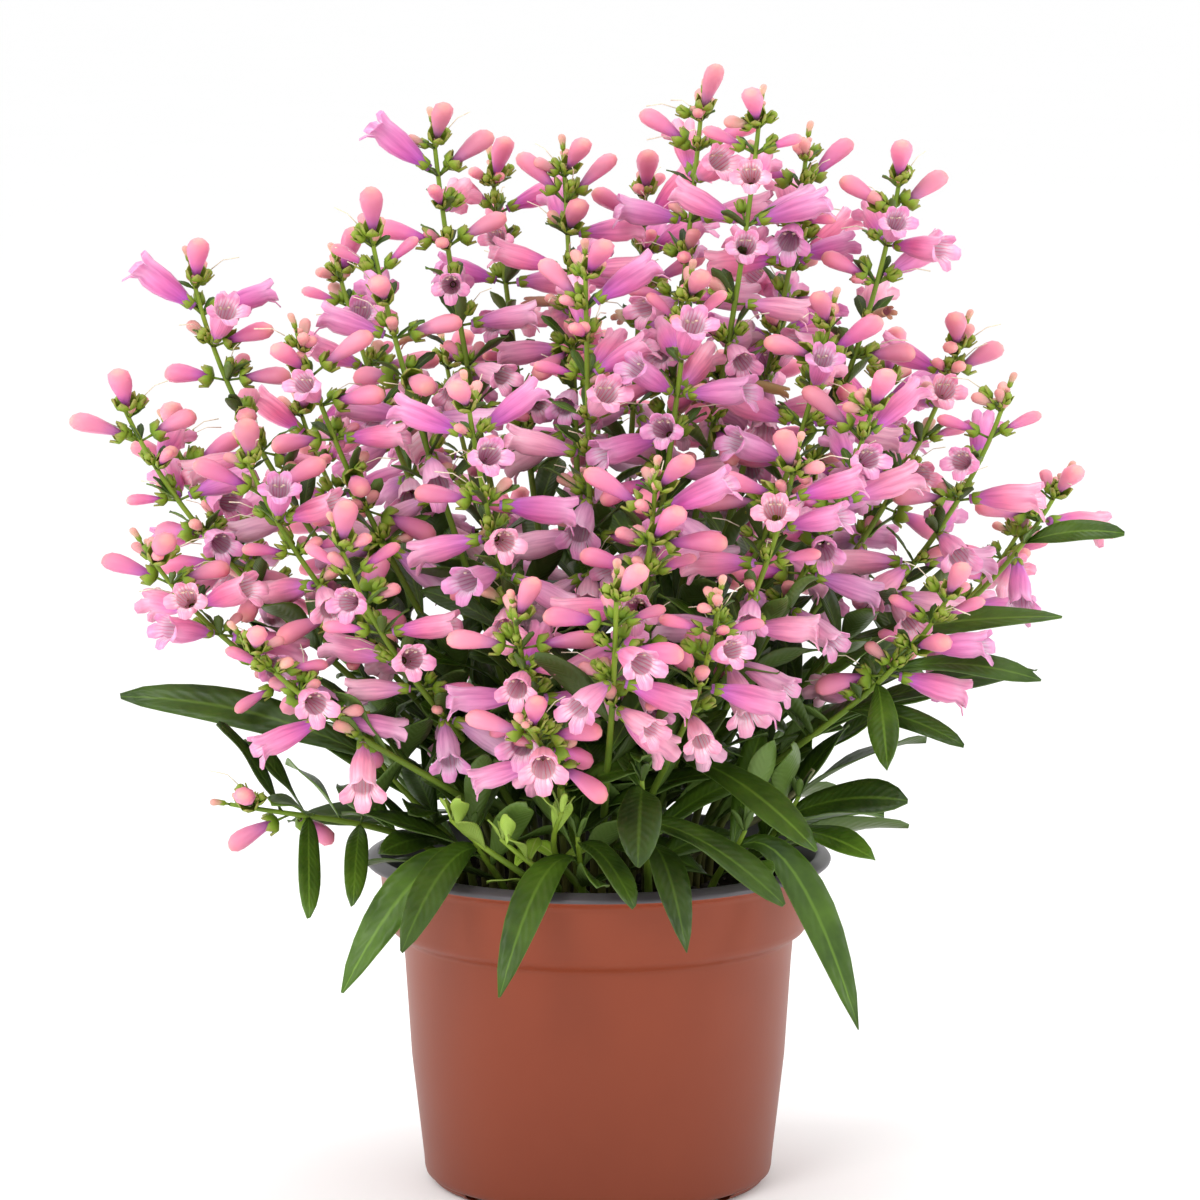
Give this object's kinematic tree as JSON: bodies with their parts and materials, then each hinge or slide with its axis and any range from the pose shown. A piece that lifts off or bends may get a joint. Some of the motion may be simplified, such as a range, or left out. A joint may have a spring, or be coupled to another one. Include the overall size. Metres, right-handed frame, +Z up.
{
  "type": "potted beardlip penstemon",
  "caption": "Bushy flowering perennial with pink tubular blooms on upright spikes over long green leaves, growing in a round plastic nursery pot.",
  "frame": {"origin": "middle of the pot's footprint, on the ground plane, which is the middle of the whole plant's outline seen from above to within a few millimetres", "axes": "+Z up, +Y from the side that the picture shows towards the back, +X to the right as seen from the front"},
  "size_m": [0.4242, 0.3523, 0.4571],
  "materials": {
    "pot_plastic": "satin moulded plastic, terracotta red-brown outside, black inside",
    "potting_soil": "loose dark peat",
    "blooms": "soft velvety petals, orchid pink to coral, on green stems",
    "leaves": "smooth, slightly glossy leaf",
    "young_leaves": "soft, fresh leaf",
    "cut_stem": "dull dry stem with a pale cut end"
  },
  "bodies": {
    "root": {"pot": "pot_plastic", "soil": "potting_soil", "cut_stump": "cut_stem", "flower_stem_01": "blooms", "flower_stem_02": "blooms", "flower_stem_03": "blooms", "flower_stem_04": "blooms", "flower_stem_05": "blooms", "flower_stem_06": "blooms", "flower_stem_07": "blooms", "flower_stem_08": "blooms", "flower_stem_09": "blooms", "flower_stem_10": "blooms", "flower_stem_11": "blooms", "flower_stem_12": "blooms", "flower_stem_13": "blooms", "flower_stem_14": "blooms", "flower_stem_15": "blooms", "flower_stem_16": "blooms", "flower_stem_17": "blooms", "flower_stem_18": "blooms", "flower_stem_19": "blooms", "flower_stem_20": "blooms", "flower_stem_21": "blooms", "flower_stem_22": "blooms", "flower_stem_23": "blooms", "flower_stem_24": "blooms", "flower_stem_25": "blooms", "flower_stem_26": "blooms", "flower_stem_27": "blooms", "flower_stem_28": "blooms", "flower_stem_29": "blooms", "flower_stem_30": "blooms", "flower_stem_31": "blooms", "flower_stem_32": "blooms", "flower_stem_33": "blooms", "flower_stem_34": "blooms", "flower_stem_35": "blooms", "flower_stem_36": "blooms", "flower_stem_37": "blooms", "flower_stem_38": "blooms", "flower_stem_39": "blooms", "flower_stem_40": "blooms", "flower_stem_41": "blooms", "flower_stem_42": "blooms", "flower_stem_43": "blooms", "leafy_shoot_01": "leaves", "leafy_shoot_02": "leaves", "leafy_shoot_03": "leaves", "leafy_shoot_04": "leaves", "leafy_shoot_05": "leaves", "leafy_shoot_06": "leaves", "leafy_shoot_07": "leaves", "leafy_shoot_08": "leaves", "leafy_shoot_09": "leaves", "leafy_shoot_10": "leaves", "leafy_shoot_11": "leaves", "leafy_shoot_12": "young_leaves", "leafy_shoot_13": "young_leaves", "leafy_shoot_14": "young_leaves"}
  },
  "joints": []
}
